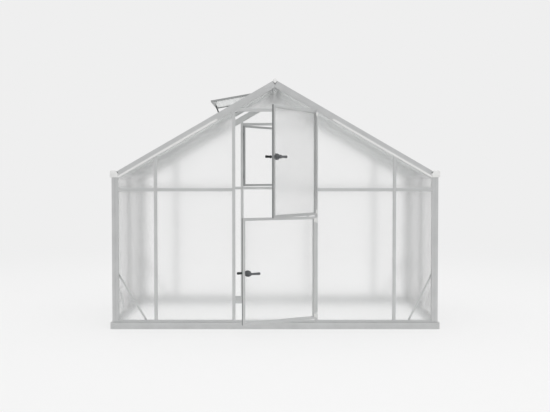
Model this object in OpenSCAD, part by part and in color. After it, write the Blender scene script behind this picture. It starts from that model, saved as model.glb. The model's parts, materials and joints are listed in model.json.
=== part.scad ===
// Walk-in greenhouse: an aluminium frame glazed with polycarbonate sheets.
// Millimetres, Z up from the ground, the door wall faces -Y, the ridge runs along Y.
// Everything is at rest as it stands: both door leaves, the roof vent and the back window are open.

/* [Footprint] */
// Width over the base frame
base_w = 3000; // [2600:10:3600]
// Depth over the base frame
base_d = 1600; // [1400:10:3000]
// Height of the base frame
base_h = 62; // [40:1:120]
// Thickness of the base frame's bars
base_t = 50; // [46:1:80]
// How far the base stands proud of the posts
base_lip = 15; // [5:1:16]

/* [Frame] */
// Width of the posts and rails, seen from outside
bar_w = 27; // [22:1:34]
// Depth of the wall frame from its outer to its inner face
frame_t = 30; // [26:1:44]
// Width of each leg of a corner post
corner_w = 58; // [46:1:80]
// Height of the channel that the wall sheets stand in
sill_h = 18; // [14:1:30]
// Height of the corner posts' tops, where the gutters lie
eave_z = 1383; // [1200:1:1600]
// Slope of the roof, in degrees
pitch = 30; // [22:1:38]
// Distance of the wall rails' middle below the corner posts' tops
rail_drop = 111; // [90:1:300]
// Distance of the side bays' posts from the middle of the gable
mid_post_x = 1088; // [900:1:1200]
// Distance of the door posts from the middle of the gable
door_post_x = 375; // [320:1:480]
// Distance of the back window's posts from the middle of the gable
window_post_x = 361; // [320:1:480]

/* [Roof] */
// Height of a rafter, square to the slope
rafter_h = 43; // [34:1:60]
// Height of the gable sheets' channel under the end rafters
channel_h = 16; // [14:1:40]
// Gap between the two mitred channels under the apex
mitre_gap = 0.4; // [0.2:0.1:0.8]
// How far that channel meets the corner post below its top
channel_drop = 6.3; // [4:0.1:24]
// Width of the middle rafters
rafter_w = 27; // [22:1:40]
// Length of the ridge beam's wing along the slope
ridge_wing = 53; // [45:1:80]
// Thickness of the ridge beam's wing
ridge_wing_t = 22; // [18:1:30]
// Depth of the ridge beam below the roof's apex
ridge_h = 112; // [80:1:150]
// Thickness of the ridge beam's web
ridge_web = 24; // [16:1:36]
// Width of the gutter
gutter_w = 71; // [60:1:90]
// Height of the gutter's outer wall
gutter_h = 61; // [56:1:80]
// Thickness of the gutter's walls
gutter_wall = 7; // [5:1:10]
// Thickness of the gutter's floor, which holds the side sheets
gutter_floor = 16; // [14:1:22]
// Rounding of the gutter's outer top edge
gutter_r = 15; // [6:1:20]
// Thickness of the plastic end caps
cap_t = 4; // [2:0.5:8]

/* [Glazing] */
// Thickness of the polycarbonate sheets
sheet_t = 6; // [4:1:10]
// Clearance of a sheet in its groove, on each side and at the bottom
sheet_fit = 0.3; // [0.2:0.05:0.5]
// Depth of the grooves that hold the sheets
groove_d = 9; // [7:1:12]
// Depth of the roof sheets' outer face below the rafters' top
roof_set = 8; // [5:1:12]

/* [Door] */
// Thickness of a door leaf
leaf_t = 22; // [20:1:34]
// Thickness of the lip behind a leaf's sheet, on the inner side
leaf_lip = 1.2; // [1:0.1:4]
// Width of a door leaf's frame bars
leaf_bar = 24; // [20:1:36]
// Gap between a closed leaf and the posts' outer face
leaf_clear = 5; // [5:0.5:10]
// Gap under the lower leaf, over the sill
leaf_sill_gap = 16; // [8:1:24]
// Height of the middle of the gap between the two leaves
leaf_split_z = 1036; // [900:1:1120]
// Gap between the two leaves
leaf_split_gap = 12; // [8:1:20]
// How far a leaf laps over the post and the head, and how far it starts from the hinge axis
leaf_lap = 6.5; // [2:0.5:12]
leaf_start = 9; // [8:0.5:14]
// How far the door head's underside lies below the inner corners of the door posts' tops
head_drop = 11.9; // [0.5:0.1:30]
// Opening of the lower leaf, in degrees
lower_open = 27.5; // [0:0.5:100]
// Opening of the upper leaf, in degrees
upper_open = 58; // [0:0.5:100]

/* [Hinges] */
// Radius of the hinge pins
pin_r = 3; // [2.5:0.5:5]
// Running clearance around pins and spindles
pin_fit = 0.05; // [0.02:0.01:0.1]
// Radius of the hinge barrels
barrel_r = 7; // [6:0.5:9]
// Length of a hinge barrel
barrel_l = 33; // [20:1:50]
// Distance of a hinge's middle from the end of its leaf
hinge_inset = 34; // [30:1:80]
// Thickness of a hinge's lug and plate
lug_t = 8; // [5:1:12]
plate_t = 4; // [3:0.5:4.5]
// Gap between the lug and the barrel that stands over it
lug_gap = 0.5; // [0.3:0.1:1]

/* [Handles] */
// Distance of the handle's spindle from the leaf's free edge
spindle_in = 54; // [44:1:90]
// Height of each handle above its leaf's lower edge
lower_handle_up = 449; // [300:1:600]
upper_handle_up = 512; // [300:1:600]
// Radius of the spindle
spindle_r = 4; // [3:0.5:6]
// Radius and thickness of the round lock plates
rose_r = 26; // [18:1:34]
rose_t = 8; // [5:1:10]
// Radius of the handle's round neck
neck_r = 10; // [8:1:14]
// Length, height and thickness of the outer lever
lever_l = 98; // [80:1:140]
lever_h = 20; // [12:1:22]
lever_t = 10; // [8:1:14]
// Distance of the outer lever's middle from the leaf's middle
lever_out = 46; // [36:1:60]
// Length of the inner latch arm, which clears the post as the leaf swings
arm_l = 35; // [24:1:36]
// Distance of the latch arm's middle from the leaf's middle
arm_in = 55; // [50:1:60]

/* [Vent and window] */
// Distance of the vent's hinge from the roof's apex, along the slope
vent_start = 55; // [50:1:90]
// Length of the vent's sash down the slope
vent_l = 595; // [400:1:800]
// Opening of the vent from the roof's slope, in degrees
vent_open = 20; // [0:1:40]
// Thickness of the vent's and window's sashes
sash_t = 20; // [18:1:26]
// Width of the sash bars
sash_bar = 22; // [18:1:34]
// How far a sash laps over the bars beside it
sash_lap = 6; // [2:1:12]
// Distance of the middle of the bar over the back window below the door head's underside
window_head_drop = 10; // [8:1:200]
// Gap under the window's sash, over the rail
window_gap = 6; // [2:1:12]
// Opening of the back window, in degrees
window_open = 51; // [0:1:80]
// Radius of the sashes' hinge barrels
knuckle_r = 5; // [4:0.5:6]
// Width and thickness of the stays
stay_w = 14; // [8:1:20]
stay_t = 3; // [2:0.5:5]
// Width and height of the block under the vent's stay
block_w = 20; // [16:1:26]
block_h = 9; // [6:1:14]

/* [Braces] */
// Height of the gables' braces' upper ends on the posts
brace_z = 515; // [300:1:700]
// Height of the side walls' braces' upper ends on the posts
side_brace_z = 480; // [300:1:700]
// Length that a gable's brace spans along the sill
brace_run = 280; // [200:1:460]
// The same for the right brace of the front gable, which is steeper
right_brace_run = 234; // [200:1:460]
// The same for the side walls' braces
side_brace_run = 445; // [200:1:460]
// Width and thickness of the braces
brace_w = 18; // [8:1:20]
brace_t = 4; // [2:0.5:5]

/* [Hidden] */

ALU = [0.72, 0.73, 0.73];
ALU_DARK = [0.55, 0.56, 0.56];
SHEET = [0.92, 0.94, 0.94, 0.5];
PALE = [0.88, 0.88, 0.87];
BLACK = [0.12, 0.12, 0.13];

smooth = 64;
bite = groove_d - sheet_fit;
frame_w = base_w - 2 * base_lip;
frame_d = base_d - 2 * base_lip;
sheet_y = frame_t / 2;
sill_z = base_h + sill_h;
post_half = bar_w / 2;

// inner ends of the corner posts' legs, measured along the gable and along the side wall
gable_in = frame_w / 2 - corner_w;
side_in = frame_d / 2 - corner_w;

// roof line: the rafters' top faces meet at apex_z
gable_drop = (rafter_h + channel_h) / cos(pitch);
apex_z = eave_z - channel_drop + gable_in * tan(pitch) + gable_drop;
rafter_start = rafter_h * tan(pitch);
rafter_end = (gable_in + 3) / cos(pitch);
sheet_end = (gable_in + 3 * gutter_wall) / cos(pitch);
ridge_groove = ridge_wing - 2 * groove_d;

// Height on the gable of a line that lies depth below the rafters' top, square to the slope
function slope_z(x, depth) = apex_z - abs(x) * tan(pitch) - depth / cos(pitch);

rail_z = eave_z - rail_drop;
door_head_z = slope_z(door_post_x - post_half, rafter_h + channel_h) - head_drop;
window_head_z = door_head_z - window_head_drop;

// door leaves: the hinge axis stands in front of the right door post
axis_out = leaf_clear + leaf_t / 2;
leaf_reach = 2 * door_post_x - post_half + leaf_lap;
leaf_w = leaf_reach - leaf_start;
lower_z0 = sill_z + leaf_sill_gap;
lower_z1 = leaf_split_z - leaf_split_gap / 2;
upper_z0 = leaf_split_z + leaf_split_gap / 2;
upper_z1 = door_head_z + leaf_lap;
leaf_sheet_y = -leaf_t / 2 + leaf_lip + sheet_t / 2 + sheet_fit;
spindle_x = leaf_reach - spindle_in;
lower_handle_z = lower_z0 + lower_handle_up;
upper_handle_z = upper_z0 + upper_handle_up;

// vent and window
sash_sheet_y = 0;
vent_y0 = post_half - sash_lap;
vent_y1 = frame_d / 2 - frame_t + sash_lap;
vent_bar_s = vent_start + vent_l - bar_w - 3;
window_z0 = rail_z + post_half + window_gap;
window_z1 = window_head_z - post_half + sash_lap;
window_axis_x = window_post_x - post_half + sash_lap / 2;
window_w = 2 * window_post_x - bar_w + sash_lap;
sash_start = knuckle_r + 0.3;
window_axis_out = leaf_clear + sash_t / 2;

// the walls' middle, set to half a millimetre so that the object with its open leaves is centred on Y = 0
function leaf_out(a) = axis_out + leaf_reach * sin(a) + leaf_t / 2 * cos(a);
front_out = max(leaf_out(lower_open), leaf_out(upper_open), base_lip);
window_out = window_axis_out + (sash_start + window_w) * sin(window_open) + sash_t / 2 * cos(window_open);
back_out = max(window_out, base_lip);
mid_y = round(front_out - back_out) / 2;
front_y = mid_y - frame_d / 2;
back_y = mid_y + frame_d / 2;

// ---- places: each wall is drawn with X along it, Y = 0 at its outer face and +Y inwards ----

module at_front() { translate([0, front_y, 0]) children(); }
module at_back() { translate([0, back_y, 0]) rotate([0, 0, 180]) children(); }
module at_left() { translate([-frame_w / 2, mid_y, 0]) rotate([0, 0, -90]) children(); }
module at_right() { translate([frame_w / 2, mid_y, 0]) rotate([0, 0, 90]) children(); }

// Roof slope: X runs down the slope from the apex, Y along the ridge, Z out of the roof
module on_right_slope() { translate([0, mid_y, apex_z]) rotate([0, pitch, 0]) children(); }
module on_left_slope() { mirror([1, 0, 0]) on_right_slope() children(); }

// Door leaf or window: X runs from the hinge axis to the free edge, +Y is the outer side
module on_hinge(x, out, angle) { translate([x, -out, 0]) rotate([0, 0, 180 + angle]) children(); }
module on_leaf(angle) { at_front() on_hinge(door_post_x, axis_out, angle) children(); }
module on_window() { at_back() on_hinge(window_axis_x, window_axis_out, window_open) children(); }
module on_vent() {
    on_left_slope()
        translate([vent_start, 0, knuckle_r + 0.5])
            rotate([0, -vent_open, 0])
                children();
}

// ---- shared shapes ----

// Upright bar with a sheet groove in its left side, its right side, or both
module upright(x, z0, z1, left = true, right = true) {
    slot = sheet_t + 2 * sheet_fit;
    translate([x, 0, z0])
        linear_extrude(z1 - z0)
            difference() {
                translate([-post_half, 0]) square([bar_w, frame_t]);
                if (left)
                    translate([-post_half - 1, sheet_y - slot / 2]) square([groove_d + 1, slot]);
                if (right)
                    translate([post_half - groove_d, sheet_y - slot / 2]) square([groove_d + 1, slot]);
            }
}

// Level bar between x0 and x1 with a sheet groove below it, above it, or both
module level(x0, x1, z0, height, below = true, above = true) {
    slot = sheet_t + 2 * sheet_fit;
    translate([x0, 0, z0])
        rotate([90, 0, 90])
            linear_extrude(x1 - x0)
                difference() {
                    square([frame_t, height]);
                    if (below)
                        translate([sheet_y - slot / 2, -1]) square([slot, groove_d + 1]);
                    if (above)
                        translate([sheet_y - slot / 2, height - groove_d]) square([slot, groove_d + 1]);
                }
}

// Sheet that fills a four-sided bay of a wall and sits in the grooves around it
module bay_sheet(x0, x1, z0, z1) {
    translate([x0 - bite, sheet_y - sheet_t / 2, z0 - bite])
        cube([x1 - x0 + 2 * bite, sheet_t, z1 - z0 + 2 * bite]);
}

// Sheet that fills a bay of the gable up to the channel under the rafters, and clears the gutters
module gable_sheet(x0, x1, z0) {
    under_roof(rafter_h + channel_h - bite)
        difference() {
            bay_sheet(x0, x1, z0, apex_z);
            for (m = [0, 1])
                mirror([m, 0, 0])
                    translate([gable_in - sheet_fit, 0, eave_z - sheet_fit])
                        cube([corner_w, frame_t, apex_z]);
        }
}

// Flat bar between two points of the XZ plane, thick along Y from y = 0
module flat_between(p, q, width, thick) {
    run = norm(q - p);
    translate([p[0], 0, p[1]])
        rotate([0, -atan2(q[1] - p[1], q[0] - p[0]), 0])
            translate([0, 0, -width / 2])
                cube([run, thick, width]);
}

// Rectangular frame of a leaf or sash, with the groove for its sheet
module sash_ring(w, h, bar, thick, sheet_at) {
    slot = sheet_t + 2 * sheet_fit;
    difference() {
        translate([0, -thick / 2, 0])
            cube([w, thick, h]);
        translate([bar, -thick, bar])
            cube([w - 2 * bar, 2 * thick, h - 2 * bar]);
        translate([bar - groove_d, sheet_at - slot / 2, bar - groove_d])
            cube([w - 2 * (bar - groove_d), slot, h - 2 * (bar - groove_d)]);
    }
}

module sash_pane(w, h, bar, sheet_at) {
    edge = bar - bite;
    translate([edge, sheet_at - sheet_t / 2, edge])
        cube([w - 2 * edge, sheet_t, h - 2 * edge]);
}

// Gable piece cut off along both slopes, depth below the rafters' top
module under_roof(depth) {
    span = 2 * gable_in;
    difference() {
        children();
        for (m = [0, 1])
            mirror([m, 0, 0])
                translate([0, 0, apex_z])
                    rotate([0, pitch, 0])
                        translate([-span, -frame_t, -depth])
                            cube([2 * span, 3 * frame_t, 2 * span]);
    }
}

// ---- base and sills ----

module base_bar(len) {
    stripe = base_h / 3;
    difference() {
        translate([-len / 2, -base_lip, 0]) cube([len, base_t, base_h]);
        translate([-len, -base_lip - 1, stripe]) cube([2 * len, 2.5, 2]);
    }
}

module base_front() { color(ALU) at_front() base_bar(base_w); }
module base_back() { color(ALU) at_back() base_bar(base_w); }
module base_left() { color(ALU) at_left() base_bar(base_d - 2 * base_t); }
module base_right() { color(ALU) at_right() base_bar(base_d - 2 * base_t); }

// One wall's sill, with a groove in its top along each glazed bay
module sill(half, bays) {
    slot = sheet_t + 2 * sheet_fit;
    difference() {
        translate([-half, 0, base_h]) cube([2 * half, frame_t, sill_h]);
        for (bay = bays)
            translate([bay[0] - groove_d, sheet_y - slot / 2, sill_z - groove_d])
                cube([bay[1] - bay[0] + 2 * groove_d, slot, groove_d + 1]);
    }
}

outer_bays = [[mid_post_x + post_half, gable_in], [-gable_in, -mid_post_x - post_half]];

// Bays of a gable whose middle bay has its posts at x and -x
function inner_bays(x) = [
    [x + post_half, mid_post_x - post_half],
    [-mid_post_x + post_half, -x - post_half]
];
function middle_bay(x) = [-x + post_half, x - post_half];

side_bays = [[-side_in, -post_half], [post_half, side_in]];

module sills() {
    color(ALU) {
        at_front() sill(gable_in, concat(outer_bays, inner_bays(door_post_x)));
        at_back()
            sill(gable_in, concat(outer_bays, inner_bays(window_post_x), [middle_bay(window_post_x)]));
        at_left() sill(side_in, side_bays);
        at_right() sill(side_in, side_bays);
    }
}

// ---- posts and rails ----

// L-shaped post of the front left corner, with a sheet groove in the end of each leg
module corner_post() {
    slot = sheet_t + 2 * sheet_fit;
    line = 2;
    linear_extrude(eave_z - base_h)
        difference() {
            square([corner_w, corner_w]);
            translate([frame_t, frame_t]) square([corner_w, corner_w]);
            translate([corner_w - groove_d, sheet_y - slot / 2]) square([groove_d + 1, slot]);
            translate([sheet_y - slot / 2, corner_w - groove_d]) square([slot, groove_d + 1]);
            translate([corner_w / 2, -1]) square([line, line + 1]);
            translate([-1, corner_w / 2]) square([line + 1, line]);
        }
}

module corner_posts() {
    color(ALU)
        translate([0, mid_y, base_h])
            for (sx = [0, 1])
                for (sy = [0, 1])
                    mirror([sx, 0, 0])
                        mirror([0, sy, 0])
                            translate([-frame_w / 2, -frame_d / 2, 0])
                                corner_post();
}

// Posts of a gable; a groove in the side of the posts at x towards the middle bay rises to inner_top
module gable_posts(x, inner_top) {
    slot = sheet_t + 2 * sheet_fit;
    under_roof(rafter_h + channel_h)
        for (m = [0, 1])
            mirror([m, 0, 0])
                difference() {
                    union() {
                        upright(mid_post_x, sill_z, apex_z);
                        upright(x, sill_z, apex_z, left = false);
                    }
                    if (inner_top > 0)
                        translate([x - post_half - 1, sheet_y - slot / 2, 0])
                            cube([groove_d + 1, slot, inner_top]);
                }
}

module front_posts() { color(ALU) at_front() gable_posts(door_post_x, 0); }
module back_posts() { color(ALU) at_back() gable_posts(window_post_x, rail_z - post_half + groove_d); }

module side_posts() {
    color(ALU) {
        at_left() upright(0, sill_z, eave_z);
        at_right() upright(0, sill_z, eave_z);
    }
}

// Bar over the door or the back window, between the channels under the two rafters
module gable_head(bay, z0) {
    under_roof(rafter_h + channel_h)
        level(bay[0], bay[1], z0, bar_w, below = false);
}

module wall_rails(bays) {
    for (bay = bays)
        level(bay[0], bay[1], rail_z - post_half, bar_w);
}

module front_rails() { color(ALU) at_front() wall_rails(concat(outer_bays, inner_bays(door_post_x))); }

module back_rails() {
    bay = middle_bay(window_post_x);
    color(ALU)
        at_back() {
            wall_rails(concat(outer_bays, inner_bays(window_post_x)));
            level(bay[0], bay[1], rail_z - post_half, bar_w, above = false);
            gable_head(bay, window_head_z - post_half);
        }
}

module side_rails() {
    color(ALU) {
        at_left() wall_rails(side_bays);
        at_right() wall_rails(side_bays);
    }
}

module door_head() { color(ALU) at_front() gable_head(middle_bay(door_post_x), door_head_z); }

// ---- roof frame ----

// Right half of a gable's rafter, with the channel of the gable sheets under it
module end_rafter_half() {
    slot = sheet_t + 2 * sheet_fit;
    difference() {
        translate([0, 0, apex_z])
            rotate([0, pitch, 0]) {
                translate([rafter_start, 0, -rafter_h])
                    cube([rafter_end - rafter_start, frame_t, rafter_h]);
                translate([0, 4, -rafter_h - channel_h])
                    cube([rafter_end + rafter_h, frame_t - 8, channel_h]);
            }
        translate([0, 0, apex_z])
            rotate([0, pitch, 0]) {
                translate([-rafter_h, sheet_y - slot / 2, -rafter_h - channel_h - 1])
                    cube([2 * rafter_end, slot, groove_d + 1]);
                translate([-rafter_h, frame_t - groove_d, -roof_set - sheet_t - sheet_fit])
                    cube([2 * rafter_end, groove_d + 1, slot]);
            }
        translate([-2 * rafter_end, -1, 0])
            cube([2 * rafter_end + mitre_gap / 2, frame_t + 2, 2 * apex_z]);
        translate([gable_in, -1, 0])
            cube([2 * rafter_h, frame_t + 2, slope_z(gable_in, rafter_h)]);
    }
}

module end_rafters() {
    end_rafter_half();
    mirror([1, 0, 0]) end_rafter_half();
}

module front_rafters() { color(ALU) at_front() end_rafters(); }
module back_rafters() { color(ALU) at_back() end_rafters(); }

// Rafter over the side posts, from the ridge beam's wing to the gutter
module middle_rafter() {
    slot = sheet_t + 2 * sheet_fit;
    difference() {
        translate([ridge_wing, -rafter_w / 2, -rafter_h])
            cube([rafter_end - ridge_wing, rafter_w, rafter_h]);
        for (side = [-1, 1])
            translate([0, side * rafter_w / 2 - groove_d, -roof_set - sheet_t - sheet_fit])
                cube([2 * rafter_end, 2 * groove_d, slot]);
    }
}

module middle_rafters() {
    color(ALU) {
        on_right_slope() middle_rafter();
        on_left_slope() middle_rafter();
    }
}

// Ridge beam between the end rafters: a web, and a wing along each slope that holds the sheets
module ridge_beam() {
    length = frame_d - 2 * frame_t;
    slot = sheet_t + 2 * sheet_fit;
    color(ALU_DARK)
        difference() {
            union() {
                translate([-ridge_web / 2, mid_y - length / 2, apex_z - ridge_h])
                    cube([ridge_web, length, ridge_h - ridge_wing_t]);
                for (m = [0, 1])
                    mirror([m, 0, 0])
                        on_right_slope()
                            translate([0, -length / 2, -ridge_wing_t])
                                cube([ridge_wing, length, ridge_wing_t]);
            }
            for (m = [0, 1])
                mirror([m, 0, 0])
                    on_right_slope()
                        translate([ridge_groove, -length, -roof_set - sheet_t - sheet_fit])
                            cube([ridge_wing, 2 * length, slot]);
        }
}

// Gutter's section: X from its inner wall outwards, Y up from its underside
module gutter_section() {
    slot = sheet_t + 2 * sheet_fit;
    inner_top = slope_z(gable_in, roof_set + sheet_t) - sheet_fit - eave_z;
    difference() {
        union() {
            square([gutter_w, gutter_h - gutter_r]);
            square([gutter_w - gutter_r, gutter_h]);
            translate([gutter_w - gutter_r, gutter_h - gutter_r]) circle(gutter_r, $fn = smooth);
        }
        translate([gutter_wall, gutter_floor])
            square([gutter_w - 2 * gutter_wall, gutter_h]);
        polygon([
            [-1, inner_top + tan(pitch)],
            [gutter_wall + 1, inner_top - (gutter_wall + 1) * tan(pitch)],
            [gutter_wall + 1, gutter_h + 1],
            [-1, gutter_h + 1]
        ]);
        translate([corner_w - sheet_y - slot / 2, -1])
            square([slot, groove_d + 1]);
    }
}

module gutter_right() {
    color(ALU)
        translate([gable_in, back_y, eave_z])
            rotate([90, 0, 0])
                linear_extrude(frame_d)
                    gutter_section();
}

module gutter_left() { mirror([1, 0, 0]) gutter_right(); }

// Plastic plate over a gutter's end: its inner side follows the rafter's square-cut end
module gutter_cap() {
    slant = (gutter_h - 30) * tan(pitch);
    translate([gable_in, 0, eave_z])
        rotate([90, 0, 0])
            linear_extrude(cap_t)
                difference() {
                    union() {
                        square([gutter_w + 2, gutter_h + 2 - gutter_r]);
                        square([gutter_w + 2 - gutter_r, gutter_h + 2]);
                        translate([gutter_w + 2 - gutter_r, gutter_h + 2 - gutter_r])
                            circle(gutter_r, $fn = smooth);
                    }
                    polygon([[-1, 30], [slant + 1, gutter_h + 3], [-1, gutter_h + 3]]);
                }
}

// Plastic wedge in the notch between the square-cut upper ends of two end rafters
module ridge_cap() {
    side = rafter_start * cos(pitch);
    top = apex_z - rafter_start * sin(pitch);
    notch = slope_z(0, rafter_h) + rafter_h * sin(pitch) * tan(pitch);
    translate([0, frame_t, 0])
        rotate([90, 0, 0])
            linear_extrude(frame_t + cap_t)
                polygon([
                    [0, notch + 1], [side - 0.6, top], [side - 6, top + 14], [7, apex_z + 10],
                    [-7, apex_z + 10], [6 - side, top + 14], [0.6 - side, top]
                ]);
}

module wall_caps() {
    gutter_cap();
    mirror([1, 0, 0]) gutter_cap();
    ridge_cap();
}

module end_caps() {
    color(PALE) {
        at_front() wall_caps();
        at_back() wall_caps();
    }
}

// ---- corner braces: flats from the sill up to the corner posts, on the inner faces ----

// Two braces up to z on a wall's posts; runs holds their lengths along the sill, towards +X first
module brace_pair(half, z, runs) {
    head = [half + (corner_w - frame_t) / 2, z];
    for (m = [0, 1])
        mirror([m, 0, 0])
            translate([0, frame_t, 0])
                flat_between(
                    [half + corner_w / 2 - runs[m], base_h + sill_h / 2], head, brace_w, brace_t);
}

module corner_braces() {
    color(ALU) {
        at_front() brace_pair(gable_in, brace_z, [right_brace_run, brace_run]);
        at_back() brace_pair(gable_in, brace_z, [brace_run, brace_run]);
        at_left() brace_pair(side_in, side_brace_z, [side_brace_run, side_brace_run]);
        at_right() brace_pair(side_in, side_brace_z, [side_brace_run, side_brace_run]);
    }
}

// ---- wall and roof sheets ----

// Sheets beside and over the middle bay, whose posts stand at x; the top one starts at head_z
module gable_sheets(x, head_z) {
    for (m = [0, 1])
        mirror([m, 0, 0])
            for (bay = [outer_bays[0], inner_bays(x)[0]]) {
                bay_sheet(bay[0], bay[1], sill_z, rail_z - post_half);
                gable_sheet(bay[0], bay[1], rail_z + post_half);
            }
    gable_sheet(-x + post_half + groove_d, x - post_half - groove_d, head_z);
}

module front_sheets() {
    color(SHEET) at_front() gable_sheets(door_post_x, door_head_z + bar_w);
}

module back_sheets() {
    bay = middle_bay(window_post_x);
    color(SHEET)
        at_back() {
            gable_sheets(window_post_x, window_head_z + post_half);
            bay_sheet(bay[0], bay[1], sill_z, rail_z - post_half);
        }
}

module side_sheets() {
    for (bay = side_bays) {
        bay_sheet(bay[0], bay[1], sill_z, rail_z - post_half);
        bay_sheet(bay[0], bay[1], rail_z + post_half, eave_z);
    }
}

module left_sheets() { color(SHEET) at_left() side_sheets(); }
module right_sheets() { color(SHEET) at_right() side_sheets(); }

// Roof sheet of one bay, from s0 down the slope to the gutter; side is -1 for the front bay
module roof_sheet(s0, side) {
    y0 = rafter_w / 2 - bite;
    y1 = frame_d / 2 - frame_t + bite;
    translate([s0, side < 0 ? -y1 : y0, -roof_set - sheet_t])
        cube([sheet_end - s0, y1 - y0, sheet_t]);
}

module roof_sheets_right() {
    color(SHEET)
        on_right_slope() {
            roof_sheet(ridge_groove + sheet_fit, -1);
            roof_sheet(ridge_groove + sheet_fit, 1);
        }
}

module roof_sheets_left() {
    color(SHEET)
        on_left_slope() {
            roof_sheet(ridge_groove + sheet_fit, -1);
            roof_sheet(vent_bar_s + bar_w - bite, 1);
        }
}

// ---- roof vent, in the left slope's back bay ----

// Bar under the vent's lower edge, which also holds the roof sheet below it
module vent_bar() {
    slot = sheet_t + 2 * sheet_fit;
    y0 = rafter_w / 2;
    y1 = frame_d / 2 - frame_t;
    color(ALU)
        on_left_slope()
            difference() {
                translate([vent_bar_s, y0, -frame_t])
                    cube([bar_w, y1 - y0, frame_t]);
                translate([vent_bar_s + bar_w - groove_d, y0 - 1, -roof_set - sheet_t - sheet_fit])
                    cube([groove_d + 1, y1 - y0 + 2, slot]);
            }
}

module vent_plane() {
    on_vent()
        translate([sash_start, vent_y1, sash_t / 2 - knuckle_r])
            rotate([90, 0, 0])
                children();
}

module vent_frame() {
    color(ALU_DARK)
        vent_plane()
            sash_ring(vent_l, vent_y1 - vent_y0, sash_bar, sash_t, sash_sheet_y);
}

module vent_sheet() { color(SHEET) vent_plane() sash_pane(vent_l, vent_y1 - vent_y0, sash_bar, sash_sheet_y); }

// Two hinge barrels on the ridge beam's wing, and the stay from a block on the bar to the sash
module vent_fittings() {
    pivot_z = knuckle_r + 0.5;
    reach = sash_start + vent_l - sash_bar;
    under = knuckle_r + 0.3;
    foot = [vent_bar_s + bar_w / 2, block_h / 2];
    head = [
        vent_start + reach * cos(vent_open) + under * sin(vent_open),
        pivot_z + reach * sin(vent_open) - under * cos(vent_open)
    ];
    color(BLACK)
        on_left_slope() {
            for (y = [vent_y0 + 0.2 * (vent_y1 - vent_y0), vent_y0 + 0.8 * (vent_y1 - vent_y0)])
                translate([vent_start, y + barrel_l / 2, pivot_z])
                    rotate([90, 0, 0])
                        cylinder(r = knuckle_r, h = barrel_l, $fn = smooth);
            translate([0, (vent_y0 + vent_y1) / 2 - stay_t / 2, 0])
                flat_between(foot, head, stay_w, stay_t);
            translate([foot[0] - block_w / 2, (vent_y0 + vent_y1 - block_w) / 2, 0])
                cube([block_w, block_w, block_h]);
        }
}

// ---- back window, hinged at its left side seen from the front ----

module window_plane() {
    on_window()
        translate([sash_start, 0, window_z0])
            children();
}

module window_frame() {
    color(ALU_DARK)
        window_plane()
            sash_ring(window_w, window_z1 - window_z0, sash_bar, sash_t, sash_sheet_y);
}

module window_sheet() {
    color(SHEET)
        window_plane()
            sash_pane(window_w, window_z1 - window_z0, sash_bar, sash_sheet_y);
}

// Two hinge barrels, each on a block against the window post
module window_fittings() {
    rise = window_z1 - window_z0;
    color(BLACK)
        at_back()
            for (z = [window_z0 + 0.15 * rise, window_z0 + 0.85 * rise])
                translate([window_axis_x, 0, z - barrel_l / 2]) {
                    translate([0, -window_axis_out, 0])
                        cylinder(r = knuckle_r, h = barrel_l, $fn = smooth);
                    translate([-knuckle_r / 2, -window_axis_out, 0])
                        cube([knuckle_r, window_axis_out, barrel_l]);
                }
}

// ---- two-part door ----

function hinge_heights(z0, z1) = [z0 + hinge_inset, z1 - hinge_inset];

// Bracket on the right door post: a plate, a lug under the leaf's barrel, and the pin
module hinge_bracket(z) {
    low = z - barrel_l / 2 - lug_gap - lug_t;
    translate([door_post_x - 4, -plate_t, low])
        cube([post_half + 4, plate_t, barrel_l + 2 * lug_t]);
    translate([door_post_x - 4, -axis_out, low])
        cube([8, axis_out - plate_t + 1, lug_t]);
    translate([door_post_x, -axis_out, low])
        cylinder(r = barrel_r, h = lug_t, $fn = smooth);
    translate([door_post_x, -axis_out, low])
        cylinder(r = pin_r, h = lug_t + barrel_l + lug_gap + 1, $fn = smooth);
}

module hinge_brackets() {
    color(PALE)
        at_front()
            for (z = concat(hinge_heights(lower_z0, lower_z1), hinge_heights(upper_z0, upper_z1)))
                hinge_bracket(z);
}

// Barrels on a leaf's hinge side, each with its arm to the stile
module leaf_hinges(z0, z1) {
    for (z = hinge_heights(z0, z1))
        translate([0, 0, z - barrel_l / 2])
            difference() {
                union() {
                    cylinder(r = barrel_r, h = barrel_l, $fn = smooth);
                    translate([0, -4, 0]) cube([leaf_start, 8, barrel_l]);
                }
                translate([0, 0, -1])
                    cylinder(r = pin_r + pin_fit, h = barrel_l + 2, $fn = smooth);
            }
}

module leaf_frame(z0, z1) {
    translate([leaf_start, 0, z0])
        sash_ring(leaf_w, z1 - z0, leaf_bar, leaf_t, leaf_sheet_y);
}

module leaf_sheet(z0, z1, handle_z) {
    difference() {
        translate([leaf_start, 0, z0])
            sash_pane(leaf_w, z1 - z0, leaf_bar, leaf_sheet_y);
        translate([spindle_x, 0, handle_z])
            rotate([90, 0, 0])
                cylinder(r = spindle_r + 2, h = 2 * leaf_t, center = true, $fn = smooth);
    }
}

// Round plates on both faces of the sheet, bored for the spindle
module lock_plates(handle_z) {
    outer = leaf_sheet_y + sheet_t / 2;
    inner = leaf_sheet_y - sheet_t / 2 - rose_t;
    for (y = [outer, inner])
        translate([spindle_x, y + rose_t, handle_z])
            rotate([90, 0, 0])
                difference() {
                    cylinder(r = rose_r, h = rose_t, $fn = smooth);
                    translate([0, 0, -1])
                        cylinder(r = spindle_r + pin_fit, h = rose_t + 2, $fn = smooth);
                }
}

// Lever outside, spindle through the leaf and latch arm inside, all one turning piece
module handle(handle_z) {
    outer = leaf_sheet_y + sheet_t / 2 + rose_t + 0.5;
    inner = leaf_sheet_y - sheet_t / 2 - rose_t - 0.5;
    translate([spindle_x, 0, handle_z]) {
        turned(outer, lever_out, neck_r);
        turned(-arm_in, inner, neck_r - 1);
        turned(-arm_in, lever_out, spindle_r);
        lever(lever_out, lever_t, lever_h, -lever_l);
        lever(-arm_in, lever_t, lever_h, arm_l);
    }
}

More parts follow.
